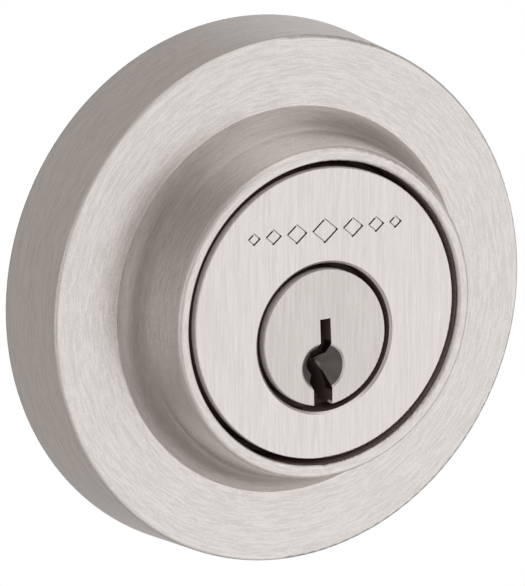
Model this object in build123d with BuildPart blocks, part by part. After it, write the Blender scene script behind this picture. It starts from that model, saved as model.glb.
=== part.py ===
from build123d import *
import math
import os

os.makedirs("parts", exist_ok=True)

# Frame: origin at the centre of the outside rose's back face, on the outside of the door.
# -Y faces outdoors, +Y goes through the door, +Z is up and the bolt throws toward +X.

# Door and drive line
DOOR = 45.0
MID = DOOR / 2
DRIVE_Z = -2.5
BACKSET = 60.0
THROW = 25.4
SCREW_X = 15.5

# Outside rose
ROSE_BASE_R = 27.5
ROSE_FACE_R = 27.0
ROSE_DEPTH = 9.15
ROSE_WALL = 2.6
CAVITY_R = 24.6
BOSS_BASE_R = 18.1
BOSS_RIM_R = 16.9
BOSS_TOP = 16.3
BOSS_BORE_R = 15.57
BOSS_FOOT_R = 19.85
COVE_H = 2.4
COVE = 1.0
RIM_ROUND = 0.55
BORE_ROUND = 0.25
EDGE = 0.35
FINE = 0.12

# Cylinder
FACE_Y = -16.25
HEAD_R = 14.88
HEAD_END = -11.0
COLLAR_R = 15.45
FLANGE_R = 19.0
FLANGE_T = 3.0
BODY_END = 11.5
BODY_R = 9.2
TOWER_W = 9.0
TOWER_TOP = 13.0
LUG_R = 4.3
LUG_END = 8.0
WEB_H = 5.0
WEB_END = 3.0
THREAD_R = 2.5
THREAD_END = -1.5
KEY_W = 3.0
KEY_BITE = 1.0
ORNAMENT_Z = 8.5
ORNAMENT_LINE = 0.18
ORNAMENT_W = 3.1
ORNAMENT_RISE = 0.85
ORNAMENT_SHRINK = 0.8
ORNAMENT_GAP = 0.45
ORNAMENT_STEPS = 4
ENGRAVE = 0.25
SPRING_CUT_W = 6.0

# Plug
PLUG_HEAD_R = 7.0
PLUG_HEAD_T = 3.0
PLUG_HOLE_R = 7.65
HOLE_CHAMFER = 0.25
PLUG_R = 6.46
PLUG_BORE_R = 6.5
PLUG_END = 13.0
RECESS_R = 4.6
RECESS_Y = 9.0
LUG_HALF = 44.0
LUG_IN_R = 1.0
PLUG_LUG_END = 11.35
DIMPLE_R = 2.5
DIMPLE_TIP_R = 0.4
DIMPLE_DEPTH = 1.3
DIMPLE_X = -0.15
DIMPLE_Z = -3.0
KEYWAY = [
    (0.66, 1.95), (0.78, -0.76), (0.47, -1.71), (-0.81, -2.13), (0.34, -3.62),
    (0.91, -5.20), (0.91, -7.60), (-1.20, -7.60), (-1.25, -5.33), (-1.57, -4.41),
    (-1.12, -3.82), (-1.77, -2.93), (-1.88, -2.49), (-1.44, -1.34), (-0.77, -1.17),
    (-0.45, -0.54), (-0.54, 1.91),
]

# Pins: key pins sit in the plug, drivers in the housing, both stored at the shear line
CHAMBER_R = 1.5
PIN_R = 1.45
PIN_FIRST = -9.5
PIN_STEP = 3.96
PIN_COUNT = 5
PIN_Y = [PIN_FIRST + PIN_STEP * i for i in range(PIN_COUNT)]
KEY_PIN_LEN = [4.6, 5.6, 4.1, 5.1, 4.9]
KEY_PIN_TOP = DRIVE_Z + 6.29
CHAMBER_FLOOR = DRIVE_Z - 1.2
DRIVER_FOOT = DRIVE_Z + 6.52
DRIVER_LEN = 4.0
PIN_TIP = 0.75
PIN_EDGE = 0.2
STOPPER_T = 1.5
COIL_R = 1.05
WIRE_R = 0.15
COIL_PITCH = 0.72

# Plug cap and tailpiece
CAP_R = 8.0
CAP_START = 11.6
CAP_END = 14.6
CAP_HOLE_R = 3.4
CAP_SLOT = (3.0, 1.6)
CAP_SLOT_DEPTH = 0.8
TURNED_CHAMFER = 0.4
TAIL_HEAD_R = 4.45
TAIL_HEAD_Y = 11.45
TAIL_HEAD_END = 12.9
TAIL_LUG_Y = 9.1
TAIL_W = 6.0
TAIL_T = 1.5
TAIL_END = 42.0

# Bolt case
TUBE_R = 12.6
TUBE_START = 20.0
TUBE_END = 56.0
BULKHEAD_T = 3.5
BOLT_R = 11.6
BOLT_W = 14.0
GAP = 0.1
CHEEK_IN = 5.0
CHEEK_T = 1.6
CASE_BACK_X = -18.5
CASE_H = 21.2
CASE_CORNER = 6.0
POSTS = [(-9.5, -8.2), (9.5, -8.2), (17.2, 4.2), (-16.2, 4.2)]
POST_R = 2.2
RIVET_R = 1.2
RIVET_HEAD = 0.8
SCREW_PASS_R = 3.2

# Hub, bolt and drive bar
HUB_R = 5.5
HUB_HOLE_R = 5.55
HUB_HALF = 7.0
FORK_HALF = 3.6
FORK_T = 3.0
FORK_R = 17.7
FORK_SLOT_HALF = 2.37
FORK_SLOT_START = 11.2
FORK_SLOT_OVERRUN = 1.0
FORK_ANGLE = 45.0
LEAF_W = 6.0
LEAF_T = 0.4
LEAF_TOP = -8.05
BOLT_START = 26.0
BOLT_EDGE = 0.8
ROLLER_R = 3.0
ROLLER_HOLE_R = 3.05
ROLLER_START = 31.0
ROLLER_END = 56.0
BAR_IN = 2.1
BAR_OUT = 4.1
BAR_LOW = 6.9
BAR_HIGH = 10.6
BAR_BLOCK_END = 33.0
BAR_PIN_X = -THROW / 2
BAR_PIN_Z = DRIVE_Z + THROW / 2
BAR_PIN_R = 1.25
BAR_BOSS_R = 2.3
BAR_HEAD_R = 1.9
BAR_HEAD_T = 0.45
BAR_RIVET_X = 29.5
BAR_RIVET_Z = 8.75
BAR_RIVET_R = 1.25
BAR_RIVET_HALF = 5.6

# Door-edge plates
BACKPLATE_T = 1.5
BACKPLATE_W = 24.6
BACKPLATE_H = 56.0
FACEPLATE_W = 25.4
FACEPLATE_H = 57.15
PLATE_CORNER = 3.2
PLATE_SCREW_Z = 20.65
PLATE_SCREW_R = 1.9
PLATE_HOLE_R = 2.2
CSK_R = 4.2
CSK_DEPTH = 2.0
WOOD_SCREW_LEN = 22.0
WOOD_TIP = 5.0
WOOD_TIP_R = 0.3
WOOD_NECK_R = 2.1
WOOD_NECK_START = TUBE_END - GAP
CSK_CLEAR = 0.2
FACE_CROSS = (0.9, 4.4)
FACE_CROSS_DEPTH = 1.2

# Inside trim, centred on the drive line
IN_BASE_Y = DOOR
IN_FACE_Y = DOOR + ROSE_DEPTH
IN_FLOOR_Y = IN_FACE_Y - ROSE_WALL
IN_BOSS_R = 13.0
IN_BOSS_H = 2.0
IN_BOSS_DRAFT = 0.4
IN_HOLE_R = 9.5
PLATE_T = 2.5
PLATE_R = 23.9
PLATE_RIM_T = 1.7
PLATE_RIM_END = DOOR + 5.0
PLATE_BORE_R = 9.0
SCREW_HEAD_R = 4.3
SCREW_HEAD_T = 2.6
SCREW_R = 2.45
SCREW_TIP = -0.5
SCREW_TIP_CHAMFER = 0.6
SCREW_DOME = 1.2
SCREW_CROSS = (1.0, 4.6)
SCREW_CROSS_DEPTH = 1.5
GRUB_R = 1.75
GRUB_Y = DOOR + 3.2
GRUB_LEN = 3.2
GRUB_HEX_R = 1.0
GRUB_HEX_DEPTH = 1.6
BUSH_IN_R = 7.55
BUSH_FLANGE_R = 12.0
BUSH_FLANGE_T = 1.2
SHAFT_R = 7.5
SHAFT_START = 47.2
RING_Y = 49.1
RING_T = 1.0
RING_SLOT = 1.1
RING_IN_R = 6.6
RING_OUT_R = 9.0
RING_MOUTH = 8.0
COLLAR_TURN_R = 11.0
COLLAR_TURN_T = 2.0
COLLAR_TURN_ROUND = 0.6
COLLAR_TURN_Y = IN_FACE_Y + IN_BOSS_H + 0.25
NECK_R = 4.0
NECK_T = 3.5
GRIP_Y = COLLAR_TURN_Y + COLLAR_TURN_T + NECK_T
GRIP_L = 34.0
GRIP_W = 9.0
GRIP_T = 12.0
GRIP_ROUND = 1.5
SPINDLE_R = 4.6
SPINDLE_START = 32.0
SPINDLE_END = 55.0
SPINDLE_SLOT_END = 44.0
SPINDLE_PIN_R = 1.0
SPINDLE_PIN_Y = 53.0
SPINDLE_PIN_SHORT = 0.1
SLOT_GAP = 0.1

DRIVE_AXIS = Axis((0, 0, DRIVE_Z), (0, 1, 0))


def cross(y):
    """Sketch plane across the door at depth y; a negative extrude goes deeper."""
    return Plane.XZ.offset(-y)


def rings(edges, radius, y):
    """Circular edges of one radius lying at one depth."""
    return edges.filter_by(GeomType.CIRCLE).filter_by(
        lambda e: abs(e.radius - radius) < 0.02 and abs(e.arc_center.Y - y) < 0.02
    )


def sector(radius, centre_angle):
    """Corner points of a fan wider than a driving lug of the given radius."""
    start = math.radians(centre_angle - LUG_HALF)
    end = math.radians(centre_angle + LUG_HALF)
    reach = radius * 2
    middle = math.radians(centre_angle)
    return [
        (0, 0),
        (reach * math.cos(start), reach * math.sin(start)),
        (reach * math.cos(middle), reach * math.sin(middle)),
        (reach * math.cos(end), reach * math.sin(end)),
    ]


def lozenge(size, inset=0.0):
    """Corner points of a diamond, drawn in from its sides by the inset."""
    half_w = size[0] / 2
    half_h = size[1] / 2
    shrink = 1 - inset * math.hypot(half_w, half_h) / (half_w * half_h)
    return [
        (-half_w * shrink, 0),
        (0, -half_h * shrink),
        (half_w * shrink, 0),
        (0, half_h * shrink),
    ]


def ornament_row():
    """Centre and size of each diamond of the engraved row, smaller toward both ends."""
    row = []
    x = 0.0
    width = ORNAMENT_W
    for step in range(ORNAMENT_STEPS):
        size = (width, width * ORNAMENT_RISE)
        row.append((x, size))
        if step:
            row.append((-x, size))
        following = width * ORNAMENT_SHRINK
        x += width / 2 + ORNAMENT_GAP + following / 2
        width = following
    return row


# Outside rose: shallow dished plate with a raised round boss that flares into the face
COVE_TOP_R = BOSS_BASE_R - (BOSS_BASE_R - BOSS_RIM_R) * COVE_H / (BOSS_TOP - ROSE_DEPTH)
with BuildPart() as outside_rose:
    with BuildSketch(Plane.XY):
        with BuildLine():
            dish = Polyline(
                (CAVITY_R, 0),
                (ROSE_BASE_R, 0),
                (ROSE_FACE_R, -ROSE_DEPTH),
                (BOSS_FOOT_R, -ROSE_DEPTH),
            )
            wall = Line((COVE_TOP_R, -(ROSE_DEPTH + COVE_H)), (BOSS_RIM_R, -BOSS_TOP))
            TangentArc(wall @ 0, dish @ 1, tangent=-(wall % 0))
            Polyline(
                (BOSS_RIM_R, -BOSS_TOP),
                (BOSS_BORE_R, -BOSS_TOP),
                (BOSS_BORE_R, -(ROSE_DEPTH - ROSE_WALL)),
                (CAVITY_R, -(ROSE_DEPTH - ROSE_WALL)),
                (CAVITY_R, 0),
            )
        make_face()
    revolve(axis=Axis.Y)
    fillet(rings(outside_rose.edges(), BOSS_RIM_R, -BOSS_TOP), RIM_ROUND)
    fillet(rings(outside_rose.edges(), ROSE_FACE_R, -ROSE_DEPTH), EDGE)
    fillet(rings(outside_rose.edges(), BOSS_BORE_R, -BOSS_TOP), BORE_ROUND)
    with BuildSketch(cross(-(ROSE_DEPTH - ROSE_WALL))):
        with Locations((0, -FLANGE_R - KEY_W / 2 + KEY_BITE)):
            Rectangle(KEY_W, KEY_W)
    extrude(amount=-FLANGE_T / 2)

# Cylinder body: round head, collar, flange, pin housing and two threaded lugs
with BuildPart() as cylinder_body:
    with BuildSketch(cross(FACE_Y)):
        Circle(HEAD_R)
    extrude(amount=-(HEAD_END - FACE_Y))
    with BuildSketch(cross(HEAD_END)):
        Circle(COLLAR_R)
    extrude(amount=HEAD_END + ROSE_DEPTH - ROSE_WALL)
    with BuildSketch(cross(-(ROSE_DEPTH - ROSE_WALL))):
        Circle(FLANGE_R)
        with Locations((0, -FLANGE_R - KEY_W / 2 + KEY_BITE + GAP)):
            Rectangle(KEY_W + 2 * GAP, KEY_W, mode=Mode.SUBTRACT)
    extrude(amount=-FLANGE_T)
    flange_back = FLANGE_T - (ROSE_DEPTH - ROSE_WALL)
    with BuildSketch(cross(flange_back)):
        with Locations((0, DRIVE_Z)):
            Circle(BODY_R)
        with Locations((0, (TOWER_TOP + DRIVE_Z) / 2)):
            Rectangle(TOWER_W, TOWER_TOP - DRIVE_Z)
    extrude(amount=-(BODY_END - flange_back))
    with BuildSketch(cross(flange_back)):
        with Locations((-SCREW_X, DRIVE_Z), (SCREW_X, DRIVE_Z)):
            Circle(LUG_R)
    extrude(amount=-(LUG_END - flange_back))
    with BuildSketch(cross(flange_back)):
        with Locations((0, DRIVE_Z)):
            Rectangle(2 * SCREW_X, WEB_H)
    extrude(amount=-(WEB_END - flange_back))
    with BuildSketch(cross(THREAD_END)):
        with Locations((-SCREW_X, DRIVE_Z), (SCREW_X, DRIVE_Z)):
            Circle(THREAD_R)
    extrude(amount=-(LUG_END - THREAD_END), mode=Mode.SUBTRACT)
    with BuildSketch(cross(FACE_Y)):
        with Locations((0, DRIVE_Z)):
            Circle(PLUG_BORE_R)
    extrude(amount=-(BODY_END - FACE_Y), mode=Mode.SUBTRACT)
    with BuildSketch(cross(FACE_Y)):
        with Locations((0, DRIVE_Z)):
            Circle(PLUG_HOLE_R)
    extrude(amount=-PLUG_HEAD_T, mode=Mode.SUBTRACT)
    chamfer(rings(cylinder_body.edges(), PLUG_HOLE_R, FACE_Y), HOLE_CHAMFER)
    fillet(rings(cylinder_body.edges(), HEAD_R, FACE_Y), FINE)
    with Locations((0, (HEAD_END + BODY_END) / 2, TOWER_TOP + FLANGE_R / 2)):
        Box(SPRING_CUT_W, BODY_END - HEAD_END, FLANGE_R, mode=Mode.SUBTRACT)
    with BuildSketch(Plane.XY.offset(DRIVE_Z)):
        with Locations(*[(0, y) for y in PIN_Y]):
            Circle(CHAMBER_R)
    extrude(amount=TOWER_TOP - DRIVE_Z, mode=Mode.SUBTRACT)
    with BuildSketch(cross(FACE_Y)):
        for diamond_x, diamond in ornament_row():
            with Locations((diamond_x, ORNAMENT_Z)):
                Polygon(*lozenge(diamond), align=None)
                Polygon(*lozenge(diamond, ORNAMENT_LINE), align=None, mode=Mode.SUBTRACT)
    extrude(amount=-ENGRAVE, mode=Mode.SUBTRACT)

# Plug: head, shank, keyway, pin chambers and a driving lug in the back recess
with BuildPart() as plug:
    with BuildSketch(cross(FACE_Y)):
        with Locations((0, DRIVE_Z)):
            Circle(PLUG_HEAD_R)
    extrude(amount=-PLUG_HEAD_T)
    with BuildSketch(cross(FACE_Y + PLUG_HEAD_T)):
        with Locations((0, DRIVE_Z)):
            Circle(PLUG_R)
    extrude(amount=-(PLUG_END - FACE_Y - PLUG_HEAD_T))
    fillet(rings(plug.edges(), PLUG_HEAD_R, FACE_Y), FINE)
    with BuildSketch(cross(RECESS_Y)):
        with Locations((0, DRIVE_Z)):
            Circle(RECESS_R)
    extrude(amount=-(PLUG_END - RECESS_Y), mode=Mode.SUBTRACT)
    with BuildSketch(cross(FACE_Y)):
        with Locations((0, DRIVE_Z)):
            Polygon(*KEYWAY, align=None)
    extrude(amount=-(RECESS_Y - FACE_Y), mode=Mode.SUBTRACT)
    with BuildSketch(Plane.XY.offset(CHAMBER_FLOOR)):
        with Locations(*[(0, y) for y in PIN_Y]):
            Circle(CHAMBER_R)
    extrude(amount=PLUG_HEAD_R - CHAMBER_FLOOR, mode=Mode.SUBTRACT)
    with Locations(Location((DIMPLE_X, FACE_Y + DIMPLE_DEPTH / 2, DRIVE_Z + DIMPLE_Z), (90, 0, 0))):
        Cone(DIMPLE_TIP_R, DIMPLE_R, DIMPLE_DEPTH, mode=Mode.SUBTRACT)
    with BuildSketch(cross(RECESS_Y)):
        with Locations((0, DRIVE_Z)):
            Polygon(*sector(RECESS_R, -90), align=None)
            Circle(RECESS_R, mode=Mode.INTERSECT)
            Circle(LUG_IN_R, mode=Mode.SUBTRACT)
    extrude(amount=-(PLUG_LUG_END - RECESS_Y))

# Key pins: pointed foot on the key side, each with its own length
key_pins = []
for index, pin_y in enumerate(PIN_Y):
    with BuildPart() as key_pin:
        with BuildSketch(Plane.XY.offset(KEY_PIN_TOP - KEY_PIN_LEN[index])):
            with Locations((0, pin_y)):
                Circle(PIN_R)
        extrude(amount=KEY_PIN_LEN[index])
        chamfer(key_pin.edges().group_by(Axis.Z)[0], PIN_TIP, PIN_TIP)
        chamfer(key_pin.edges().group_by(Axis.Z)[-1], PIN_EDGE)
    key_pin.part.label = f"key_pin_{index + 1}"
    key_pins.append(key_pin.part)

# Driver pins: plain pins resting on the plug
driver_pins = []
for index, pin_y in enumerate(PIN_Y):
    with BuildPart() as driver_pin:
        with BuildSketch(Plane.XY.offset(DRIVER_FOOT)):
            with Locations((0, pin_y)):
                Circle(PIN_R)
        extrude(amount=DRIVER_LEN)
        chamfer(driver_pin.edges().filter_by(GeomType.CIRCLE), PIN_EDGE)
    driver_pin.part.label = f"driver_pin_{index + 1}"
    driver_pins.append(driver_pin.part)

# Pin springs: one coil on top of each driver
SPRING_FOOT = DRIVER_FOOT + DRIVER_LEN + WIRE_R
SPRING_TOP = TOWER_TOP - STOPPER_T - WIRE_R
with BuildPart() as pin_springs:
    for pin_y in PIN_Y:
        with BuildLine() as coil:
            Helix(COIL_PITCH, SPRING_TOP - SPRING_FOOT, COIL_R, center=(0, pin_y, SPRING_FOOT))
        with BuildSketch(coil.line ^ 0):
            Circle(WIRE_R)
        sweep(path=coil.line, is_frenet=True)

# Chamber plugs: press-in stoppers over the springs
with BuildPart() as chamber_plugs:
    with BuildSketch(Plane.XY.offset(TOWER_TOP - STOPPER_T)):
        with Locations(*[(0, y) for y in PIN_Y]):
            Circle(CHAMBER_R)
    extrude(amount=STOPPER_T)

# Plug cap: cup screwed on the plug's back end, with two spanner slots
with BuildPart() as plug_cap:
    with BuildSketch(cross(CAP_START)):
        with Locations((0, DRIVE_Z)):
            Circle(CAP_R)
    extrude(amount=-(CAP_END - CAP_START))
    with BuildSketch(cross(CAP_START)):
        with Locations((0, DRIVE_Z)):
            Circle(PLUG_R)
    extrude(amount=-(PLUG_END - CAP_START), mode=Mode.SUBTRACT)
    with BuildSketch(cross(PLUG_END)):
        with Locations((0, DRIVE_Z)):
            Circle(CAP_HOLE_R)
    extrude(amount=-(CAP_END - PLUG_END), mode=Mode.SUBTRACT)
    chamfer(rings(plug_cap.edges(), CAP_R, CAP_END), TURNED_CHAMFER)
    with BuildSketch(cross(CAP_END - CAP_SLOT_DEPTH)):
        with Locations((-CAP_R, DRIVE_Z), (CAP_R, DRIVE_Z)):
            Rectangle(*CAP_SLOT)
    extrude(amount=-CAP_SLOT_DEPTH, mode=Mode.SUBTRACT)

# Tailpiece: driving lug, round head and flat bar
with BuildPart() as tailpiece:
    with BuildSketch(cross(TAIL_LUG_Y)):
        with Locations((0, DRIVE_Z)):
            Polygon(*sector(TAIL_HEAD_R, 90), align=None)
            Circle(TAIL_HEAD_R, mode=Mode.INTERSECT)
            Circle(LUG_IN_R, mode=Mode.SUBTRACT)
    extrude(amount=-(TAIL_HEAD_Y - TAIL_LUG_Y))
    with BuildSketch(cross(TAIL_HEAD_Y)):
        with Locations((0, DRIVE_Z)):
            Circle(TAIL_HEAD_R)
    extrude(amount=-(TAIL_HEAD_END - TAIL_HEAD_Y))
    with BuildSketch(cross(TAIL_HEAD_END)):
        with Locations((0, DRIVE_Z)):
            Rectangle(TAIL_T, TAIL_W)
    extrude(amount=-(TAIL_END - TAIL_HEAD_END))
    chamfer(tailpiece.edges().group_by(Axis.Y)[-1], TURNED_CHAMFER)

# Bolt case: round tube for the bolt, bulkhead, back cheek and posts
CHEEK_X = (CASE_BACK_X + TUBE_START) / 2
CHEEK_L = TUBE_START - CASE_BACK_X
with BuildPart() as bolt_case:
    with BuildSketch(Plane.YZ.offset(TUBE_START)):
        with Locations((MID, 0)):
            Circle(TUBE_R)
    extrude(amount=TUBE_END - TUBE_START)
    with BuildSketch(Plane.YZ.offset(TUBE_START + BULKHEAD_T)):
        with Locations((MID, 0)):
            Circle(BOLT_R + GAP)
            Rectangle(BOLT_W + 2 * GAP, 2 * TUBE_R, mode=Mode.INTERSECT)
    extrude(amount=TUBE_END - TUBE_START - BULKHEAD_T, mode=Mode.SUBTRACT)
    with BuildSketch(Plane.YZ.offset(TUBE_START)):
        with Locations((MID, (BAR_LOW + BAR_HIGH) / 2)):
            Rectangle(2 * BAR_OUT + 2 * GAP, BAR_HIGH - BAR_LOW + 2 * GAP)
    extrude(amount=BULKHEAD_T, mode=Mode.SUBTRACT)
    with BuildSketch(cross(MID + CHEEK_IN)):
        with Locations((CHEEK_X, 0)):
            Rectangle(CHEEK_L, CASE_H)
        fillet(vertices().group_by(Axis.X)[0], CASE_CORNER)
    extrude(amount=-CHEEK_T)
    with BuildSketch(cross(MID - CHEEK_IN)):
        with Locations(*POSTS):
            Circle(POST_R)
    extrude(amount=-2 * CHEEK_IN)
    with BuildSketch(cross(MID - CHEEK_IN)):
        with Locations(*POSTS):
            Circle(RIVET_R)
    extrude(amount=-2 * CHEEK_IN, mode=Mode.SUBTRACT)
    with BuildSketch(cross(MID + CHEEK_IN)):
        with Locations((0, DRIVE_Z)):
            Circle(HUB_HOLE_R)
        with Locations((-SCREW_X, DRIVE_Z), (SCREW_X, DRIVE_Z)):
            Circle(SCREW_PASS_R)
    extrude(amount=-CHEEK_T, mode=Mode.SUBTRACT)

# Case cover: outdoor-side cheek
with BuildPart() as case_cover:
    with BuildSketch(cross(MID - CHEEK_IN - CHEEK_T)):
        with Locations((CHEEK_X, 0)):
            Rectangle(CHEEK_L, CASE_H)
        fillet(vertices().group_by(Axis.X)[0], CASE_CORNER)
        with Locations((0, DRIVE_Z)):
            Circle(HUB_HOLE_R, mode=Mode.SUBTRACT)
        with Locations((-SCREW_X, DRIVE_Z), (SCREW_X, DRIVE_Z)):
            Circle(SCREW_PASS_R, mode=Mode.SUBTRACT)
        with Locations(*POSTS):
            Circle(RIVET_R, mode=Mode.SUBTRACT)
    extrude(amount=-CHEEK_T)

# Case rivets
with BuildPart() as case_rivets:
    with BuildSketch(cross(MID - CHEEK_IN - CHEEK_T)):
        with Locations(*POSTS):
            Circle(RIVET_R)
    extrude(amount=-(CHEEK_T + 2 * CHEEK_IN))
    with BuildSketch(cross(MID - CHEEK_IN - CHEEK_T - RIVET_HEAD)):
        with Locations(*POSTS):
            Circle(POST_R)
    extrude(amount=-RIVET_HEAD)
    fillet(case_rivets.edges().group_by(Axis.Y)[0], RIVET_HEAD / 2)

# Hub: bearing barrel with a fork that swings the bar pin across
with BuildPart() as hub:
    with BuildSketch(cross(MID - HUB_HALF)):
        with Locations((0, DRIVE_Z)):
            Circle(HUB_R)
    extrude(amount=-2 * HUB_HALF)
    fillet(rings(hub.edges(), HUB_R, MID - HUB_HALF), EDGE)
    fillet(rings(hub.edges(), HUB_R, MID + HUB_HALF), EDGE)
    with BuildSketch(cross(MID - FORK_T / 2)):
        with Locations(Location((0, DRIVE_Z, 0), (0, 0, FORK_ANGLE))):
            with Locations((0, FORK_R / 2)):
                Rectangle(2 * FORK_HALF, FORK_R)
            with Locations((0, (FORK_SLOT_START + FORK_R + FORK_SLOT_OVERRUN) / 2)):
                Rectangle(
                    2 * FORK_SLOT_HALF,
                    FORK_R - FORK_SLOT_START + FORK_SLOT_OVERRUN,
                    mode=Mode.SUBTRACT,
                )
    extrude(amount=-FORK_T)
    with BuildSketch(cross(MID - HUB_HALF)):
        with Locations((0, DRIVE_Z)):
            Rectangle(TAIL_T + 2 * SLOT_GAP, TAIL_W + 2 * SLOT_GAP)
    extrude(amount=-2 * HUB_HALF, mode=Mode.SUBTRACT)

# Detent spring: leaf wedged between the lower posts under the hub
LEAF_HALF = POSTS[1][0] - POST_R
with BuildPart() as detent_spring:
    with Locations((0, MID, LEAF_TOP - LEAF_T / 2)):
        Box(2 * LEAF_HALF, LEAF_W, LEAF_T)

# Bolt: rounded top and bottom, flat sides
with BuildPart() as bolt:
    with BuildSketch(Plane.YZ.offset(BOLT_START)):
        with Locations((MID, 0)):
            Circle(BOLT_R)
            Rectangle(BOLT_W, 2 * TUBE_R, mode=Mode.INTERSECT)
    extrude(amount=BACKSET - BOLT_START)
    fillet(bolt.edges().group_by(Axis.X)[-1], BOLT_EDGE)
    with BuildSketch(Plane.YZ.offset(BOLT_START)):
        with Locations((MID, BAR_LOW + TUBE_R / 2)):
            Rectangle(2 * BAR_OUT, TUBE_R)
    extrude(amount=BAR_BLOCK_END - BOLT_START, mode=Mode.SUBTRACT)
    with BuildSketch(Plane.YZ.offset(BOLT_START)):
        with Locations((MID, 0)):
            Circle(ROLLER_HOLE_R)
    extrude(amount=ROLLER_END - BOLT_START, mode=Mode.SUBTRACT)
    with BuildSketch(cross(MID - BOLT_W / 2)):
        with Locations((BAR_RIVET_X, BAR_RIVET_Z)):
            Circle(BAR_RIVET_R)
    extrude(amount=-BOLT_W, mode=Mode.SUBTRACT)

# Bolt roller: hardened pin that spins under a saw
with BuildPart() as bolt_roller:
    with BuildSketch(Plane.YZ.offset(ROLLER_START)):
        with Locations((MID, 0)):
            Circle(ROLLER_R)
    extrude(amount=ROLLER_END - ROLLER_START)
    chamfer(bolt_roller.edges().group_by(Axis.X)[0], EDGE)

# Bolt bar: two rails joined by a block that sits in the bolt's notch
RAIL_MID = (BAR_IN + BAR_OUT) / 2
RAIL_T = BAR_OUT - BAR_IN
with BuildPart() as bolt_bar:
    for side in (-1, 1):
        with BuildSketch(cross(MID + side * RAIL_MID - RAIL_T / 2)):
            with Locations(((BAR_PIN_X + BAR_BLOCK_END) / 2, (BAR_LOW + BAR_HIGH) / 2)):
                Rectangle(BAR_BLOCK_END - BAR_PIN_X, BAR_HIGH - BAR_LOW)
            with Locations((BAR_PIN_X, BAR_PIN_Z)):
                Circle(BAR_BOSS_R)
        extrude(amount=-RAIL_T)
    with BuildSketch(cross(MID - BAR_OUT)):
        with Locations(((BOLT_START + BAR_BLOCK_END) / 2, (BAR_LOW + BAR_HIGH) / 2)):
            Rectangle(BAR_BLOCK_END - BOLT_START, BAR_HIGH - BAR_LOW)
    extrude(amount=-2 * BAR_OUT)
    with BuildSketch(cross(MID - BAR_OUT)):
        with Locations((BAR_PIN_X, BAR_PIN_Z)):
            Circle(BAR_PIN_R)
        with Locations((BAR_RIVET_X, BAR_RIVET_Z)):
            Circle(BAR_RIVET_R)
    extrude(amount=-2 * BAR_OUT, mode=Mode.SUBTRACT)

# Bar rivet: stops short of the bolt's curved top
with BuildPart() as bar_rivet:
    with BuildSketch(cross(MID - BAR_RIVET_HALF)):
        with Locations((BAR_RIVET_X, BAR_RIVET_Z)):
            Circle(BAR_RIVET_R)
    extrude(amount=-2 * BAR_RIVET_HALF)

# Bar pin: headed cross pin at the back of the rails
with BuildPart() as bar_pin:
    with BuildSketch(cross(MID - BAR_OUT)):
        with Locations((BAR_PIN_X, BAR_PIN_Z)):
            Circle(BAR_PIN_R)
    extrude(amount=-2 * BAR_OUT)
    for head_y in (MID - BAR_OUT - BAR_HEAD_T, MID + BAR_OUT):
        with BuildSketch(cross(head_y)):
            with Locations((BAR_PIN_X, BAR_PIN_Z)):
                Circle(BAR_HEAD_R)
        extrude(amount=-BAR_HEAD_T)

# Backplate
with BuildPart() as backplate:
    with BuildSketch(Plane.YZ.offset(TUBE_END)):
        with Locations((MID, 0)):
            RectangleRounded(BACKPLATE_W, BACKPLATE_H, PLATE_CORNER)
        with BuildSketch(mode=Mode.PRIVATE) as bolt_opening:
            with Locations((MID, 0)):
                Circle(BOLT_R + GAP)
                Rectangle(BOLT_W + 2 * GAP, 2 * TUBE_R, mode=Mode.INTERSECT)
        add(bolt_opening.sketch, mode=Mode.SUBTRACT)
        with Locations((MID, -PLATE_SCREW_Z), (MID, PLATE_SCREW_Z)):
            Circle(PLATE_HOLE_R, mode=Mode.SUBTRACT)
    extrude(amount=BACKPLATE_T)

# Faceplate: flush with the door edge, countersunk for two screws
FACEPLATE_X = TUBE_END + BACKPLATE_T
with BuildPart() as faceplate:
    with BuildSketch(Plane.YZ.offset(FACEPLATE_X)):
        with Locations((MID, 0)):
            RectangleRounded(FACEPLATE_W, FACEPLATE_H, PLATE_CORNER)
        with BuildSketch(mode=Mode.PRIVATE) as face_opening:
            with Locations((MID, 0)):
                Circle(BOLT_R + GAP)
                Rectangle(BOLT_W + 2 * GAP, 2 * TUBE_R, mode=Mode.INTERSECT)
        add(face_opening.sketch, mode=Mode.SUBTRACT)
    extrude(amount=BACKSET - FACEPLATE_X)
    for screw_z in (-PLATE_SCREW_Z, PLATE_SCREW_Z):
        with BuildSketch(Plane.YZ.offset(FACEPLATE_X)):
            with Locations((MID, screw_z)):
                Circle(PLATE_HOLE_R)
        extrude(amount=BACKSET - FACEPLATE_X, mode=Mode.SUBTRACT)
        with Locations(Location((BACKSET - CSK_DEPTH / 2, MID, screw_z), (0, 90, 0))):
            Cone(PLATE_HOLE_R, CSK_R, CSK_DEPTH, mode=Mode.SUBTRACT)

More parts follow.
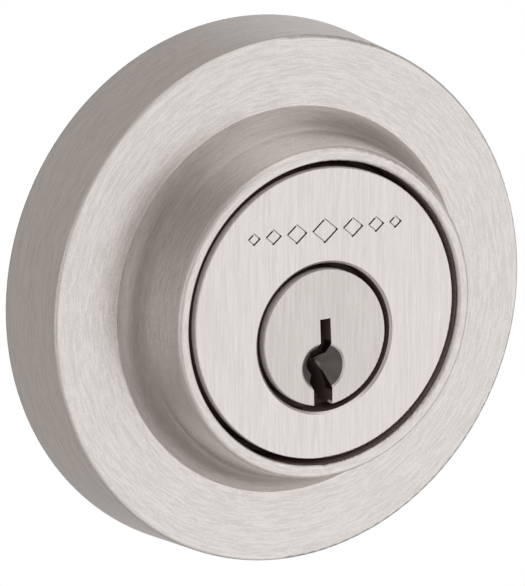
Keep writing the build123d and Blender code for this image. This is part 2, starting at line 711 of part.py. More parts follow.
# Faceplate screws: countersunk wood screws with a thicker neck and a cross recess
WOOD_TIP_END = BACKSET - WOOD_SCREW_LEN + WOOD_TIP
with BuildPart() as faceplate_screws:
    for screw_z in (-PLATE_SCREW_Z, PLATE_SCREW_Z):
        with Locations(Location((BACKSET - CSK_DEPTH / 2, MID, screw_z), (0, 90, 0))):
            Cone(WOOD_NECK_R, CSK_R - CSK_CLEAR, CSK_DEPTH)
        with BuildSketch(Plane.YZ.offset(WOOD_NECK_START)):
            with Locations((MID, screw_z)):
                Circle(WOOD_NECK_R)
        extrude(amount=BACKSET - CSK_DEPTH - WOOD_NECK_START)
        with BuildSketch(Plane.YZ.offset(WOOD_TIP_END)):
            with Locations((MID, screw_z)):
                Circle(PLATE_SCREW_R)
        extrude(amount=WOOD_NECK_START - WOOD_TIP_END)
        with Locations(Location((WOOD_TIP_END - WOOD_TIP / 2, MID, screw_z), (0, 90, 0))):
            Cone(WOOD_TIP_R, PLATE_SCREW_R, WOOD_TIP)
        with Locations((BACKSET, MID, screw_z)):
            Box(2 * FACE_CROSS_DEPTH, FACE_CROSS[0], FACE_CROSS[1], mode=Mode.SUBTRACT)
            Box(2 * FACE_CROSS_DEPTH, FACE_CROSS[1], FACE_CROSS[0], mode=Mode.SUBTRACT)

# Inside rose: same dish as the outside one, with a low boss round the thumbturn
with BuildPart() as inside_rose:
    with BuildSketch(Plane.XY.offset(DRIVE_Z)):
        with BuildLine():
            Polyline(
                (CAVITY_R, IN_BASE_Y),
                (ROSE_BASE_R, IN_BASE_Y),
                (ROSE_FACE_R, IN_FACE_Y),
                (IN_BOSS_R, IN_FACE_Y),
                (IN_BOSS_R - IN_BOSS_DRAFT, IN_FACE_Y + IN_BOSS_H),
                (IN_HOLE_R, IN_FACE_Y + IN_BOSS_H),
                (IN_HOLE_R, IN_FLOOR_Y),
                (CAVITY_R, IN_FLOOR_Y),
                close=True,
            )
        make_face()
    revolve(axis=DRIVE_AXIS)
    fillet(rings(inside_rose.edges(), IN_BOSS_R, IN_FACE_Y), COVE)
    fillet(rings(inside_rose.edges(), IN_BOSS_R - IN_BOSS_DRAFT, IN_FACE_Y + IN_BOSS_H), EDGE)
    fillet(rings(inside_rose.edges(), ROSE_FACE_R, IN_FACE_Y), EDGE)
    with BuildSketch(Plane.XY.offset(DRIVE_Z - PLATE_R)):
        with Locations((0, GRUB_Y)):
            Circle(GRUB_R)
    extrude(amount=-(ROSE_BASE_R - PLATE_R), mode=Mode.SUBTRACT)

# Mounting plate: dished steel plate on the inside of the door
with BuildPart() as mounting_plate:
    with BuildSketch(cross(IN_BASE_Y)):
        with Locations((0, DRIVE_Z)):
            Circle(PLATE_R)
    extrude(amount=-(PLATE_RIM_END - IN_BASE_Y))
    with BuildSketch(cross(IN_BASE_Y + PLATE_T)):
        with Locations((0, DRIVE_Z)):
            Circle(PLATE_R - PLATE_RIM_T)
    extrude(amount=-(PLATE_RIM_END - IN_BASE_Y - PLATE_T), mode=Mode.SUBTRACT)
    with BuildSketch(cross(IN_BASE_Y)):
        with Locations((0, DRIVE_Z)):
            Circle(PLATE_BORE_R)
        with Locations((-SCREW_X, DRIVE_Z), (SCREW_X, DRIVE_Z)):
            Circle(THREAD_R + GAP)
    extrude(amount=-PLATE_T, mode=Mode.SUBTRACT)

# Mounting screws: from the mounting plate through the case into the cylinder lugs
with BuildPart() as mounting_screws:
    with BuildSketch(cross(SCREW_TIP)):
        with Locations((-SCREW_X, DRIVE_Z), (SCREW_X, DRIVE_Z)):
            Circle(SCREW_R)
    extrude(amount=-(IN_BASE_Y + PLATE_T - SCREW_TIP))
    chamfer(mounting_screws.edges().group_by(Axis.Y)[0], SCREW_TIP_CHAMFER)
    with BuildSketch(cross(IN_BASE_Y + PLATE_T)):
        with Locations((-SCREW_X, DRIVE_Z), (SCREW_X, DRIVE_Z)):
            Circle(SCREW_HEAD_R)
    extrude(amount=-SCREW_HEAD_T)
    fillet(mounting_screws.edges().group_by(Axis.Y)[-1], SCREW_DOME)
    with Locations(
        (-SCREW_X, IN_BASE_Y + PLATE_T + SCREW_HEAD_T, DRIVE_Z),
        (SCREW_X, IN_BASE_Y + PLATE_T + SCREW_HEAD_T, DRIVE_Z),
    ):
        Box(SCREW_CROSS[1], 2 * SCREW_CROSS_DEPTH, SCREW_CROSS[0], mode=Mode.SUBTRACT)
        Box(SCREW_CROSS[0], 2 * SCREW_CROSS_DEPTH, SCREW_CROSS[1], mode=Mode.SUBTRACT)

# Rose set screw: grub screw through the rose wall onto the mounting plate's rim
GRUB_TOP = DRIVE_Z - PLATE_R
with BuildPart() as rose_set_screw:
    with BuildSketch(Plane.XY.offset(GRUB_TOP - GRUB_LEN)):
        with Locations((0, GRUB_Y)):
            Circle(GRUB_R)
    extrude(amount=GRUB_LEN)
    with BuildSketch(Plane.XY.offset(GRUB_TOP - GRUB_LEN)):
        with Locations((0, GRUB_Y)):
            RegularPolygon(GRUB_HEX_R, 6)
    extrude(amount=GRUB_HEX_DEPTH, mode=Mode.SUBTRACT)

# Turn bushing: flanged plastic bearing pressed into the inside rose
with BuildPart() as turn_bushing:
    with BuildSketch(cross(IN_FLOOR_Y - BUSH_FLANGE_T)):
        with Locations((0, DRIVE_Z)):
            Circle(BUSH_FLANGE_R)
    extrude(amount=-BUSH_FLANGE_T)
    with BuildSketch(cross(IN_FLOOR_Y)):
        with Locations((0, DRIVE_Z)):
            Circle(IN_HOLE_R)
    extrude(amount=-(IN_FACE_Y + IN_BOSS_H - IN_FLOOR_Y))
    with BuildSketch(cross(IN_FLOOR_Y - BUSH_FLANGE_T)):
        with Locations((0, DRIVE_Z)):
            Circle(BUSH_IN_R)
    extrude(amount=-(IN_FACE_Y + IN_BOSS_H - IN_FLOOR_Y + BUSH_FLANGE_T), mode=Mode.SUBTRACT)

# Thumbturn: shaft with a ring groove, round collar and upright grip
with BuildPart() as thumbturn:
    with BuildSketch(cross(SHAFT_START)):
        with Locations((0, DRIVE_Z)):
            Circle(SHAFT_R)
    extrude(amount=-(COLLAR_TURN_Y - SHAFT_START))
    with BuildSketch(cross(COLLAR_TURN_Y)):
        with Locations((0, DRIVE_Z)):
            Circle(COLLAR_TURN_R)
    extrude(amount=-COLLAR_TURN_T)
    fillet(rings(thumbturn.edges(), COLLAR_TURN_R, COLLAR_TURN_Y + COLLAR_TURN_T), COLLAR_TURN_ROUND)
    with BuildSketch(cross(COLLAR_TURN_Y + COLLAR_TURN_T)):
        with Locations((0, DRIVE_Z)):
            Circle(NECK_R)
    extrude(amount=-NECK_T)
    fillet(rings(thumbturn.edges(), NECK_R, COLLAR_TURN_Y + COLLAR_TURN_T), COVE)
    with BuildSketch(cross(GRIP_Y)):
        with Locations((0, DRIVE_Z)):
            SlotOverall(GRIP_L, GRIP_W, rotation=90)
    extrude(amount=-GRIP_T)
    fillet(thumbturn.edges().group_by(Axis.Y)[-1], GRIP_ROUND)
    grip_back = thumbturn.edges().filter_by_position(Axis.Y, GRIP_Y - 0.01, GRIP_Y + 0.01)
    fillet(grip_back - rings(grip_back, NECK_R, GRIP_Y), EDGE)
    with BuildSketch(cross(SHAFT_START)):
        with Locations((0, DRIVE_Z)):
            Circle(SPINDLE_R)
    extrude(amount=-(SPINDLE_END - SHAFT_START), mode=Mode.SUBTRACT)
    with BuildSketch(cross(RING_Y)):
        with Locations((0, DRIVE_Z)):
            Circle(RING_OUT_R)
            Circle(RING_IN_R, mode=Mode.SUBTRACT)
    extrude(amount=-RING_SLOT, mode=Mode.SUBTRACT)
    with BuildSketch(Plane.YZ.offset(-SHAFT_R)):
        with Locations((SPINDLE_PIN_Y, DRIVE_Z)):
            Circle(SPINDLE_PIN_R)
    extrude(amount=2 * SHAFT_R, mode=Mode.SUBTRACT)

# Retaining ring: open ring in the shaft groove
with BuildPart() as retaining_ring:
    with BuildSketch(cross(RING_Y + (RING_SLOT - RING_T) / 2)):
        with Locations((0, DRIVE_Z)):
            Circle(RING_OUT_R)
            Circle(RING_IN_R, mode=Mode.SUBTRACT)
        with Locations((0, DRIVE_Z - RING_OUT_R)):
            Rectangle(RING_MOUTH, RING_OUT_R, mode=Mode.SUBTRACT)
    extrude(amount=-RING_T)

# Turn spindle: slotted driver pinned inside the thumbturn shaft
with BuildPart() as turn_spindle:
    with BuildSketch(cross(SPINDLE_START)):
        with Locations((0, DRIVE_Z)):
            Circle(SPINDLE_R)
    extrude(amount=-(SPINDLE_END - SPINDLE_START))
    with BuildSketch(cross(SPINDLE_START)):
        with Locations((0, DRIVE_Z)):
            Rectangle(TAIL_T + 2 * SLOT_GAP, TAIL_W + 2 * SLOT_GAP)
    extrude(amount=-(SPINDLE_SLOT_END - SPINDLE_START), mode=Mode.SUBTRACT)
    with BuildSketch(Plane.YZ.offset(-SPINDLE_R)):
        with Locations((SPINDLE_PIN_Y, DRIVE_Z)):
            Circle(SPINDLE_PIN_R)
    extrude(amount=2 * SPINDLE_R, mode=Mode.SUBTRACT)

# Spindle pin
with BuildPart() as spindle_pin:
    with BuildSketch(Plane.YZ.offset(-SHAFT_R + SPINDLE_PIN_SHORT)):
        with Locations((SPINDLE_PIN_Y, DRIVE_Z)):
            Circle(SPINDLE_PIN_R)
    extrude(amount=2 * (SHAFT_R - SPINDLE_PIN_SHORT))

outside_rose.part.label = "outside_rose"
cylinder_body.part.label = "cylinder_body"
plug.part.label = "plug"
pin_springs.part.label = "pin_springs"
chamber_plugs.part.label = "chamber_plugs"
plug_cap.part.label = "plug_cap"
tailpiece.part.label = "tailpiece"
bolt_case.part.label = "bolt_case"
case_cover.part.label = "case_cover"
case_rivets.part.label = "case_rivets"
hub.part.label = "hub"
detent_spring.part.label = "detent_spring"
bolt.part.label = "bolt"
bolt_roller.part.label = "bolt_roller"
bolt_bar.part.label = "bolt_bar"
bar_rivet.part.label = "bar_rivet"
bar_pin.part.label = "bar_pin"
backplate.part.label = "backplate"
faceplate.part.label = "faceplate"
faceplate_screws.part.label = "faceplate_screws"
inside_rose.part.label = "inside_rose"
mounting_plate.part.label = "mounting_plate"
mounting_screws.part.label = "mounting_screws"
rose_set_screw.part.label = "rose_set_screw"
turn_bushing.part.label = "turn_bushing"
thumbturn.part.label = "thumbturn"
retaining_ring.part.label = "retaining_ring"
turn_spindle.part.label = "turn_spindle"
spindle_pin.part.label = "spindle_pin"

pieces = [
    outside_rose.part, cylinder_body.part, plug.part, pin_springs.part, chamber_plugs.part,
    plug_cap.part, tailpiece.part, bolt_case.part, case_cover.part, case_rivets.part,
    hub.part, detent_spring.part, bolt.part, bolt_roller.part, bolt_bar.part, bar_rivet.part,
    bar_pin.part, backplate.part, faceplate.part, faceplate_screws.part, inside_rose.part,
    mounting_plate.part, mounting_screws.part, rose_set_screw.part, turn_bushing.part,
    thumbturn.part, retaining_ring.part, turn_spindle.part, spindle_pin.part,
]
for piece in pieces + key_pins + driver_pins:
    export_step(piece, f"parts/{piece.label}.step")
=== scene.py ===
"""Looks for a single-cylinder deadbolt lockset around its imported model.

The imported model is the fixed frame: metres, -Y outdoors, +Z up, the bolt throws toward +X.
Finishes are procedural, and every added piece rides on one of the model's bodies.
"""

import logging
import math
from dataclasses import dataclass, field
from enum import Enum
from typing import Any

import bmesh
import bpy
from mathutils import Matrix, Vector


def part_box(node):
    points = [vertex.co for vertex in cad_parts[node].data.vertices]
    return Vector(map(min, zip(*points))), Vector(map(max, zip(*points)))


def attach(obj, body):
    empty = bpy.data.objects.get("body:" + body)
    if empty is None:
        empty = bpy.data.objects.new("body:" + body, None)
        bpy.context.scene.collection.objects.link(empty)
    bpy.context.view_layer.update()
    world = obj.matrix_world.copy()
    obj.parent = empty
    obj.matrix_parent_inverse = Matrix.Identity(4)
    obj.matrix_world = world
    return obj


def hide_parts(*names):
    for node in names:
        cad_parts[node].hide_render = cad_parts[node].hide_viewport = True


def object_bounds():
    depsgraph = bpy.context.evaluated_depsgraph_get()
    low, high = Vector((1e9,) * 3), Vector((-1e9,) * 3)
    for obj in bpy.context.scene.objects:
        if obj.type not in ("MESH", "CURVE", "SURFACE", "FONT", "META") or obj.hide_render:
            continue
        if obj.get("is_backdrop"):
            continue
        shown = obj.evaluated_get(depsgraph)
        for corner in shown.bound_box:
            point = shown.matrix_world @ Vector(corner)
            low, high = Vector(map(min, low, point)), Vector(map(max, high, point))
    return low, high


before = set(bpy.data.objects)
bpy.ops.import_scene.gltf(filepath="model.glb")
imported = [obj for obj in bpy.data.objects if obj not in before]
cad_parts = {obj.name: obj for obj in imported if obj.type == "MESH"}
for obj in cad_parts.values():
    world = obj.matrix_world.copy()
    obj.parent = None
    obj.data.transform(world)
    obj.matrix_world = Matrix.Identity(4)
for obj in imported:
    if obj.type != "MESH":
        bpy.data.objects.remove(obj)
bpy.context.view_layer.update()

LOG = logging.getLogger("deadbolt")
MM = 0.001
TYPICAL_RADIUS = 22.0 * MM
SQUARE = ((-1, -1), (1, -1), (1, 1), (-1, 1))
BLOCK_FACES = ((0, 1, 2, 3), (4, 5, 6, 7), (0, 1, 5, 4), (1, 2, 6, 5), (2, 3, 7, 6), (3, 0, 4, 7))
MIX_FIRST, MIX_SECOND, MIX_RESULT = 6, 7, 2
EDGE_TURN = (0.80, 0.99)
WALL_TILT = (0.35, 0.60)
TONE_SHARES = (0.45, 0.30, 0.25)
TONE_RANGE = (0.41, 0.59)
STROKE_SCALE = 0.45
WORN_SHINE = 1.06
LAYER_MARK_TONE = 0.82
Socket = bpy.types.NodeSocket
Colour = tuple[float, float, float]


def span(node: str) -> tuple[Vector, Vector]:
    """Return the lowest and highest corners of a node at rest."""
    low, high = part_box(node)
    return Vector(low), Vector(high)


# The plug's axis height, the cylinder's face and the rose's rim are read from the model.
DRIVE_Z = sum(corner.z for corner in span("plug_cap")) / 2
FACE_Y = span("cylinder_body")[0].y
RIM_Y = span("outside_rose")[0].y
EVERYWHERE = (0.0, 1.0)


class Grain(Enum):
    """How the brush marks run on a finish."""

    TURNED = "round the Y axis"
    UPRIGHT = "along Z"
    ACROSS = "along X"
    NONE = "no direction"


class Sheet:
    """A material's node tree with short calls for the nodes that the finishes use."""

    def __init__(self, name: str) -> None:
        """Start an empty node tree.

        Args:
            name: the material's name.
        """
        self.material = bpy.data.materials.new(name)
        self.material.use_nodes = True
        self.tree = self.material.node_tree
        self.tree.nodes.clear()
        self.shader = self.tree.nodes.new("ShaderNodeBsdfPrincipled")
        self.output = self.tree.nodes.new("ShaderNodeOutputMaterial")
        self.join(self.shader.outputs["BSDF"], self.output.inputs["Surface"])

    def join(self, source: Socket, target: Socket) -> None:
        """Link an output to an input."""
        self.tree.links.new(source, target)

    def feed(self, node: bpy.types.Node, index: int | str, value: Socket | float | Colour) -> None:
        """Link a socket into a node's input, or set the input to a plain value.

        Args:
            node: the node.
            index: the input's number or name.
            value: the socket or the value.
        """
        if isinstance(value, bpy.types.NodeSocket):
            self.join(value, node.inputs[index])
        else:
            node.inputs[index].default_value = value

    def place(self) -> Socket:
        """Return the surface position in the model's own frame."""
        return self.tree.nodes.new("ShaderNodeTexCoord").outputs["Object"]

    def split(self, vector: Socket) -> tuple[Socket, Socket, Socket]:
        """Return a vector's three parts.

        Args:
            vector: the vector.

        Returns:
            The sockets of its X, Y and Z.
        """
        node = self.tree.nodes.new("ShaderNodeSeparateXYZ")
        self.join(vector, node.inputs[0])
        return node.outputs[0], node.outputs[1], node.outputs[2]

    def pack(self, x: Socket | float, y: Socket | float, z: Socket | float) -> Socket:
        """Return a vector made of three parts.

        Args:
            x: the first part.
            y: the second part.
            z: the third part.

        Returns:
            The vector socket.
        """
        node = self.tree.nodes.new("ShaderNodeCombineXYZ")
        for index, value in enumerate((x, y, z)):
            self.feed(node, index, value)
        return node.outputs[0]

    def sum(self, operation: str, a: Socket | float, b: Socket | float = 0.0) -> Socket:
        """Return a Math node's result.

        Args:
            operation: the Math node's operation name.
            a: first value.
            b: second value, unused by one-value operations.

        Returns:
            The result socket.
        """
        node = self.tree.nodes.new("ShaderNodeMath")
        node.operation = operation
        self.feed(node, 0, a)
        self.feed(node, 1, b)
        return node.outputs[0]

    def total(self, parts: list[tuple[Socket, float]]) -> Socket:
        """Return the weighted sum of some values.

        Args:
            parts: each value with its weight.

        Returns:
            The result socket.
        """
        result: Socket | float = 0.0
        for value, weight in parts:
            result = self.sum("ADD", result, self.sum("MULTIPLY", value, weight))
        return result

    def noise(self, vector: Socket, scale: float, detail: float = 2.0,
              rough: float = 0.5) -> Socket:
        """Return a noise value between 0 and 1.

        Args:
            vector: where the noise is read.
            scale: features per unit of the vector.
            detail: octaves of finer noise.
            rough: strength of the finer octaves.

        Returns:
            The noise's value socket.
        """
        node = self.tree.nodes.new("ShaderNodeTexNoise")
        self.join(vector, node.inputs["Vector"])
        node.inputs["Scale"].default_value = scale
        node.inputs["Detail"].default_value = detail
        node.inputs["Roughness"].default_value = rough
        return node.outputs["Fac"]

    def remap(self, value: Socket, low: float, high: float, out_low: float = 0.0,
              out_high: float = 1.0) -> Socket:
        """Return a value moved from one range to another, clamped and eased.

        Args:
            value: the value to move.
            low: start of the first range.
            high: end of the first range.
            out_low: result at the start.
            out_high: result at the end.

        Returns:
            The result socket.
        """
        node = self.tree.nodes.new("ShaderNodeMapRange")
        node.interpolation_type = "SMOOTHSTEP"
        for index, number in enumerate((low, high, out_low, out_high), start=1):
            node.inputs[index].default_value = number
        self.join(value, node.inputs[0])
        return node.outputs[0]

    def blend(self, factor: Socket | float, first: Socket | Colour,
              second: Socket | Colour) -> Socket:
        """Return a colour between two colours.

        Args:
            factor: 0 for the first colour and 1 for the second.
            first: the first colour.
            second: the second colour.

        Returns:
            The colour socket.
        """
        node = self.tree.nodes.new("ShaderNodeMix")
        node.data_type = "RGBA"
        self.feed(node, 0, factor)
        for index, value in ((MIX_FIRST, first), (MIX_SECOND, second)):
            if isinstance(value, tuple):
                value = (*value, 1.0)
            self.feed(node, index, value)
        return node.outputs[MIX_RESULT]

    def slide(self, factor: Socket, first: Socket | float, second: float) -> Socket:
        """Return a value between two values.

        Args:
            factor: 0 for the first value and 1 for the second.
            first: the first value.
            second: the second value.

        Returns:
            The result socket.
        """
        change = self.sum("MULTIPLY", factor, self.sum("SUBTRACT", second, first))
        return self.sum("ADD", first, change)

    def rounded(self, radius: float, samples: int = 6) -> Socket:
        """Return the surface's normal with its edges softened.

        Args:
            radius: how far from an edge the softening reaches, in metres.
            samples: how many rays find the edge.

        Returns:
            The normal socket.
        """
        bevel = self.tree.nodes.new("ShaderNodeBevel")
        bevel.samples = samples
        bevel.inputs["Radius"].default_value = radius
        return bevel.outputs["Normal"]

    def edge(self, radius: float) -> Socket:
        """Return 1 on convex and concave edges and 0 on open surface.

        Args:
            radius: how far from the edge the mask reaches, in metres.

        Returns:
            The mask socket.
        """
        rounded = self.rounded(radius, samples=4)
        surface = self.tree.nodes.new("ShaderNodeNewGeometry")
        dot = self.tree.nodes.new("ShaderNodeVectorMath")
        dot.operation = "DOT_PRODUCT"
        self.join(rounded, dot.inputs[0])
        self.join(surface.outputs["Normal"], dot.inputs[1])
        return self.remap(dot.outputs["Value"], *EDGE_TURN, 1.0, 0.0)

    def radius(self, centre_z: float) -> Socket:
        """Return the distance from an axis along Y.

        Args:
            centre_z: height of the axis.

        Returns:
            The distance socket, in metres.
        """
        x, _, z = self.split(self.place())
        drop = self.sum("SUBTRACT", z, centre_z)
        square = self.sum("ADD", self.sum("MULTIPLY", x, x), self.sum("MULTIPLY", drop, drop))
        return self.sum("SQRT", square)

    def wall(self) -> Socket:
        """Return 1 on surface that runs along Y and 0 on surface that faces along Y."""
        normal = self.tree.nodes.new("ShaderNodeTexCoord").outputs["Normal"]
        return self.remap(self.sum("ABSOLUTE", self.split(normal)[1]), *WALL_TILT, 1.0, 0.0)

    def bump(self, height: Socket, depth: float, normal: Socket | None = None) -> Socket:
        """Return a normal from a height of 0 to 1 that is depth metres deep.

        Args:
            height: the height.
            depth: depth of a height of 1, in metres.
            normal: the normal that the bump is laid on, or None for the surface's own.

        Returns:
            The normal socket.
        """
        node = self.tree.nodes.new("ShaderNodeBump")
        node.inputs["Distance"].default_value = depth
        self.join(height, node.inputs["Height"])
        if normal is not None:
            self.join(normal, node.inputs["Normal"])
        return node.outputs["Normal"]


@dataclass(frozen=True)
class SkinOrShade:
    """A change of skin, or a painted shade, below a depth, as in a groove or a slot.

    Attributes:
        start: Y where the layer begins.
        full: Y where it is complete.
        colour: colour of the changed skin or of the painted shade.
        roughness: roughness of the changed skin or of the painted shade.
        ring: least and greatest distance from the axis that it covers.
        centre_z: height of that axis.
        walls: whether it keeps to surface that runs along Y.
        metal: 1 for bare metal and 0 for a layer with no metal shine: a dull skin, or painted
            shade.
    """

    start: float
    full: float
    colour: Colour
    roughness: float = 0.6
    ring: tuple[float, float] = EVERYWHERE
    centre_z: float = 0.0
    walls: bool = False
    metal: float = 1.0

    def mask(self, sheet: Sheet) -> Socket:
        """Return 1 where the layer is and 0 elsewhere.

        Args:
            sheet: the node tree to build in.

        Returns:
            The mask socket.
        """
        mask = sheet.remap(sheet.split(sheet.place())[1], self.start, self.full)
        if self.ring != EVERYWHERE:
            radius = sheet.radius(self.centre_z)
            inside = sheet.sum("LESS_THAN", radius, self.ring[1])
            outside = sheet.sum("GREATER_THAN", radius, self.ring[0])
            mask = sheet.sum("MULTIPLY", mask, sheet.sum("MULTIPLY", inside, outside))
        if self.walls:
            mask = sheet.sum("MULTIPLY", mask, sheet.wall())
        return mask


@dataclass(frozen=True)
class BrushedMetal:
    """A metal with short fine brush marks in one direction.

    Attributes:
        name: material name.
        colour: bright colour of the metal.
        shade: colour in the depth of the marks.
        grain: how the marks run.
        centre_z: height of the axis that turned marks run round.
        roughness: middle roughness.
        spread: how far the marks move the roughness.
        width: spacing of the marks in metres.
        length: length of a mark in metres.
        depth: depth of the marks in metres.
        wander: how far the marks stray, in mark widths.
        soften: how far edges are softened in metres, 0 for not at all.
        skins_and_shade: changes of skin and painted shade in hollows, each over the ones before it.
        bend_scale: bends in the run of the marks, per metre.
        grit_scale: specks of the skin, per metre.
        cloud_scale: worn and rough areas, per metre.
        wear: width of the wear along edges, in metres.
    """

    name: str
    colour: Colour
    shade: Colour
    grain: Grain
    centre_z: float = 0.0
    roughness: float = 0.27
    spread: float = 0.08
    width: float = 0.11 * MM
    length: float = 1.3 * MM
    depth: float = 0.005 * MM
    wander: float = 4.0
    soften: float = 0.0
    skins_and_shade: tuple[SkinOrShade, ...] = ()
    bend_scale: float = 330.0
    grit_scale: float = 7500.0
    cloud_scale: float = 110.0
    wear: float = 0.22 * MM

    def lay(self, sheet: Sheet) -> Socket:
        """Return the stretched position that the marks are read from.

        Args:
            sheet: the node tree to build in.

        Returns:
            A vector whose unit is one mark wide and one mark long.
        """
        place = sheet.place()
        x, y, z = sheet.split(place)
        fine = 1.0 / self.width
        coarse = 1.0 / self.length
        drift = sheet.sum("MULTIPLY", sheet.noise(place, self.bend_scale, detail=1.0), self.wander)
        if self.grain is Grain.TURNED:
            drop = sheet.sum("SUBTRACT", z, self.centre_z)
            radius = sheet.radius(self.centre_z)
            reach = TYPICAL_RADIUS * coarse
            round_x = sheet.sum("MULTIPLY", sheet.sum("DIVIDE", x, radius), reach)
            round_z = sheet.sum("MULTIPLY", sheet.sum("DIVIDE", drop, radius), reach)
            along_skin = sheet.sum("SUBTRACT", radius, sheet.sum("ABSOLUTE", y))
            out = sheet.sum("MULTIPLY", along_skin, fine)
            return sheet.pack(round_x, sheet.sum("ADD", out, drift), round_z)
        scales = {
            Grain.UPRIGHT: (fine, fine, coarse),
            Grain.ACROSS: (coarse, fine, fine),
            Grain.NONE: (fine, fine, fine),
        }[self.grain]
        parts = [sheet.sum("MULTIPLY", part, scale) for part, scale in zip((x, y, z), scales)]
        return sheet.pack(*parts)

    def skin_or_shade(self, sheet: Sheet, tone: Socket, colour: Socket,
              rough: Socket) -> tuple[Socket, Socket, Socket | float]:
        """Lay the changes of skin and the painted shade over the bare skin.

        Args:
            sheet: the node tree to build in.
            tone: the height of the marks.
            colour: colour of the bare skin.
            rough: roughness of the bare skin.

        Returns:
            The colour, roughness and share of bare metal, with the changed skin and the painted
            shade laid on.
        """
        metal: Socket | float = 1.0
        for skin_or_shade in self.skins_and_shade:
            mask = skin_or_shade.mask(sheet)
            faint = tuple(part * LAYER_MARK_TONE for part in skin_or_shade.colour)
            skin = sheet.blend(sheet.remap(tone, *TONE_RANGE), faint, skin_or_shade.colour)
            colour = sheet.blend(mask, colour, skin)
            rough = sheet.slide(mask, rough, skin_or_shade.roughness)
            metal = sheet.slide(mask, metal, skin_or_shade.metal)
        return colour, rough, metal

    def make(self) -> bpy.types.Material:
        """Build the material.

        Returns:
            The finished material.
        """
        sheet = Sheet(self.name)
        place = self.lay(sheet)
        marks = sheet.noise(place, 1.0, detail=2.0, rough=0.6)
        strokes = sheet.noise(place, STROKE_SCALE, detail=1.0)
        grit = sheet.noise(sheet.place(), self.grit_scale, detail=1.0)
        cloud = sheet.noise(sheet.place(), self.cloud_scale, detail=2.0)
        tone = sheet.total(list(zip((marks, strokes, grit), TONE_SHARES)))
        colour = sheet.blend(sheet.remap(tone, *TONE_RANGE), self.shade, self.colour)
        worn = sheet.sum("MULTIPLY", sheet.edge(self.wear), sheet.remap(cloud, 0.3, 0.6, 0.25, 0.7))
        bright = tuple(min(1.0, part * WORN_SHINE) for part in self.colour)
        colour = sheet.blend(worn, colour, bright)
        change = sheet.total([(tone, -self.spread), (cloud, 0.05), (worn, -0.04)])
        rough = sheet.sum("ADD", change, self.roughness + self.spread * 0.5 - 0.025)
        colour, rough, metal = self.skin_or_shade(sheet, tone, colour, rough)
        sheet.join(colour, sheet.shader.inputs["Base Color"])
        sheet.join(rough, sheet.shader.inputs["Roughness"])
        normal = sheet.rounded(self.soften) if self.soften else None
        sheet.join(sheet.bump(tone, self.depth, normal), sheet.shader.inputs["Normal"])
        sheet.feed(sheet.shader, "Metallic", metal)
        return sheet.material


@dataclass(frozen=True)
class GrainyMetal:
    """A cast or plated metal with a fine even skin.

    Attributes:
        name: material name.
        colour: main colour.
        shade: colour of the darker patches.
        roughness: middle roughness.
        grit: size of the skin's grain in metres.
        depth: depth of the grain in metres.
        patch_scale: darker patches, per metre.
        wear: width of the wear along edges, in metres.
    """

    name: str
    colour: Colour
    shade: Colour
    roughness: float = 0.45
    grit: float = 0.35 * MM
    depth: float = 0.006 * MM
    patch_scale: float = 160.0
    wear: float = 0.3 * MM

    def make(self) -> bpy.types.Material:
        """Build the material.

        Returns:
            The finished material.
        """
        sheet = Sheet(self.name)
        place = sheet.place()
        skin = sheet.noise(place, 1.0 / self.grit, detail=3.0, rough=0.6)
        patch = sheet.noise(place, self.patch_scale, detail=3.0)
        tone = sheet.total([(skin, 0.4), (patch, 0.6)])
        colour = sheet.blend(sheet.remap(tone, 0.38, 0.62), self.shade, self.colour)
        worn = sheet.sum("MULTIPLY", sheet.edge(self.wear), sheet.remap(patch, 0.3, 0.6, 0.2, 0.9))
        bright = tuple(min(1.0, part * 1.3 + 0.02) for part in self.colour)
        colour = sheet.blend(worn, colour, bright)
        sheet.join(colour, sheet.shader.inputs["Base Color"])
        rough = sheet.sum("ADD", sheet.total([(patch, 0.16), (worn, -0.12)]), self.roughness - 0.08)
        sheet.join(rough, sheet.shader.inputs["Roughness"])
        sheet.join(sheet.bump(skin, self.depth), sheet.shader.inputs["Normal"])
        sheet.feed(sheet.shader, "Metallic", 1.0)
        return sheet.material


@dataclass(frozen=True)
class MouldedPlastic:
    """A moulded plastic with a faint texture.

    Attributes:
        name: material name.
        colour: main colour.
        shade: colour of the darker patches.
        roughness: middle roughness.
        grain_scale: bumps of the moulded skin, per metre.
        patch_scale: darker patches, per metre.
        depth: depth of the bumps in metres.
    """

    name: str
    colour: Colour
    shade: Colour
    roughness: float = 0.5
    grain_scale: float = 5000.0
    patch_scale: float = 200.0
    depth: float = 0.008 * MM

    def make(self) -> bpy.types.Material:
        """Build the material.

        Returns:
            The finished material.
        """
        sheet = Sheet(self.name)
        place = sheet.place()
        skin = sheet.noise(place, self.grain_scale, detail=2.0)
        patch = sheet.noise(place, self.patch_scale)
        sheet.join(sheet.blend(patch, self.shade, self.colour), sheet.shader.inputs["Base Color"])
        rough = sheet.sum("ADD", sheet.sum("MULTIPLY", skin, 0.15), self.roughness - 0.07)
        sheet.join(rough, sheet.shader.inputs["Roughness"])
        sheet.join(sheet.bump(skin, self.depth), sheet.shader.inputs["Normal"])
        return sheet.material


def below_face(start: float, full: float, colour: Colour, **more: Any) -> SkinOrShade:
    """Return a change of skin or a painted shade on the cylinder, between two depths in millimetres
    below its face.
    """
    return SkinOrShade(FACE_Y + start * MM, FACE_Y + full * MM, colour, **more)


NICKEL: Colour = (0.770, 0.733, 0.704)
NICKEL_SHADE: Colour = (0.655, 0.618, 0.590)
BRASS: Colour = (0.80, 0.60, 0.30)
BRASS_SHADE: Colour = (0.66, 0.46, 0.20)
# Painted shade: a darker, smoother nickel laid in the cove at the foot of the rose's boss.
COVE_PAINTED_SHADE: Colour = (0.500, 0.452, 0.420)
# Painted shade: a dark brown with no metal shine, laid below a depth in the gaps, holes and keyway
# of the cylinder and plug.
RECESS_PAINTED_SHADE: Colour = (0.150, 0.105, 0.092)
# Painted shade: a paler dark brown with no metal shine, laid deep in the rose's bore.
BORE_PAINTED_SHADE: Colour = (0.340, 0.250, 0.225)
DULL: Colour = (0.93, 0.88, 0.85)
SHADOW: Colour = (0.160, 0.145, 0.138)

